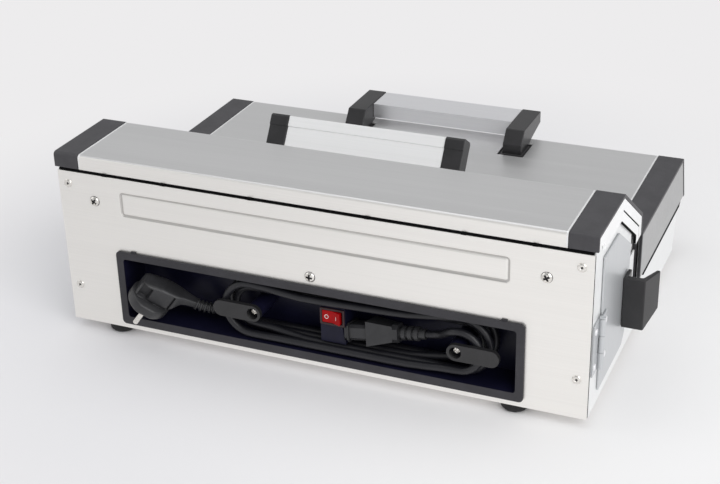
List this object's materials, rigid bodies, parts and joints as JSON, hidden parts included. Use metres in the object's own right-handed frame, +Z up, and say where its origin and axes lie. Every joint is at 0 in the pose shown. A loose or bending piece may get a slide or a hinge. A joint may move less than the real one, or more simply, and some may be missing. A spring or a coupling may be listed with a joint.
{
  "type": "reflow oven",
  "caption": "Low L-shaped bench oven with a hinged rear cover, a hinged front lid over a heated tray, a side door and a mains lead wound in a bay in its rear wall.",
  "frame": {"origin": "middle of the footprint, on the surface that the four feet stand on, measured without the mains lead", "axes": "+Z up, -Y towards the operator, +Y towards the rear wall with the cord bay, +X to the operator's right, the side door on the -X side"},
  "size_m": [0.5106, 0.3779, 0.1814],
  "materials": {
    "steel": "brushed",
    "grey_panel": "satin",
    "aluminium": "brushed",
    "black_plastic": "satin",
    "black_mat": "matt",
    "rubber": "matt",
    "nickel": "polished",
    "red_plastic": "gloss",
    "cord_plastic": "satin",
    "glass_black": "gloss",
    "board_green": "satin",
    "heater_metal": "oxidised",
    "key_grey": "satin"
  },
  "bodies": {
    "housing": {"base_pan": "steel", "foot_rear_left": "rubber", "foot_rear_right": "rubber", "foot_front_left": "rubber", "foot_front_right": "rubber", "side_panel_left": "grey_panel", "side_panel_right": "grey_panel", "rear_panel": "steel", "wall_screw_left": "nickel", "wall_screw_middle": "nickel", "wall_screw_right": "nickel", "cover_seal": "black_mat", "cord_bay": "black_mat", "cord_hook_left": "black_plastic", "hook_screw_left": "nickel", "cord_hook_right": "black_plastic", "hook_screw_right": "nickel", "switch_body": "black_plastic", "inlet_collar": "black_plastic", "lead_connector": "cord_plastic", "mains_plug": "cord_plastic", "plug_pin_left": "nickel", "plug_pin_right": "nickel", "power_cord": "cord_plastic", "bulkhead": "steel", "chamber_pan": "steel", "rim_seal": "black_mat", "board_rack": "nickel", "lower_heater": "heater_metal", "controller_board": "board_green", "fan_frame": "black_plastic", "hinge_leaf_frame": "steel", "hinge_pin": "nickel"},
    "cover": {"cover_sheet": "steel", "cover_cap_left": "black_plastic", "cover_cap_right": "black_plastic", "cover_end_left": "grey_panel", "cover_end_right": "grey_panel", "display_window": "glass_black", "controls_board": "board_green", "cover_handle_end_left": "black_plastic", "cover_handle_end_right": "black_plastic", "cover_handle_bar": "aluminium"},
    "lid": {"lid_sheet": "steel", "lid_cap_left": "black_plastic", "lid_cap_right": "black_plastic", "lid_end_left": "grey_panel", "lid_end_right": "grey_panel", "lid_liner": "steel", "upper_heater": "heater_metal", "lid_handle_end_left": "black_plastic", "lid_handle_end_right": "black_plastic", "lid_handle_bar": "aluminium"},
    "door": {"side_door": "grey_panel", "hinge_leaf_door": "steel", "door_grip": "black_plastic"},
    "switch_rocker": {"rocker": "red_plastic"},
    "key_one": {"fascia_key_1": "key_grey"},
    "key_two": {"fascia_key_2": "key_grey"},
    "rotor": {"fan_rotor": "black_mat"}
  },
  "joints": [
    {"name": "cover_hinge", "type": "hinge", "parent": "housing", "child": "cover", "pos_m": [0.0128, 0.1745, 0.1589], "axis": [-1, 0, 0], "range_deg": [0, 75]},
    {"name": "lid_hinge", "type": "hinge", "parent": "housing", "child": "lid", "pos_m": [0.0128, 0.007, 0.0943], "axis": [-1, 0, 0], "range_deg": [0, 80]},
    {"name": "side_door_hinge", "type": "hinge", "parent": "housing", "child": "door", "pos_m": [-0.2307, 0.1535, 0.069], "axis": [0, 0, -1], "range_deg": [0, 110]},
    {"name": "rocker_pivot", "type": "hinge", "parent": "housing", "child": "switch_rocker", "pos_m": [-0.0042, 0.16893, 0.057], "axis": [0, 0, 1], "range_deg": [0, 18]},
    {"name": "key_one_press", "type": "slide", "parent": "cover", "child": "key_one", "axis": [0, 0.5581, -0.8298], "range_m": [0, 0.0012], "stiffness_N_per_m": 400, "springref_m": -0.0006},
    {"name": "key_two_press", "type": "slide", "parent": "cover", "child": "key_two", "axis": [0, 0.5581, -0.8298], "range_m": [0, 0.0012], "stiffness_N_per_m": 400, "springref_m": -0.0006},
    {"name": "fan_spin", "type": "hinge", "parent": "housing", "child": "rotor", "pos_m": [0.2428, 0.101, 0.071], "axis": [1, 0, 0], "continuous": true}
  ]
}
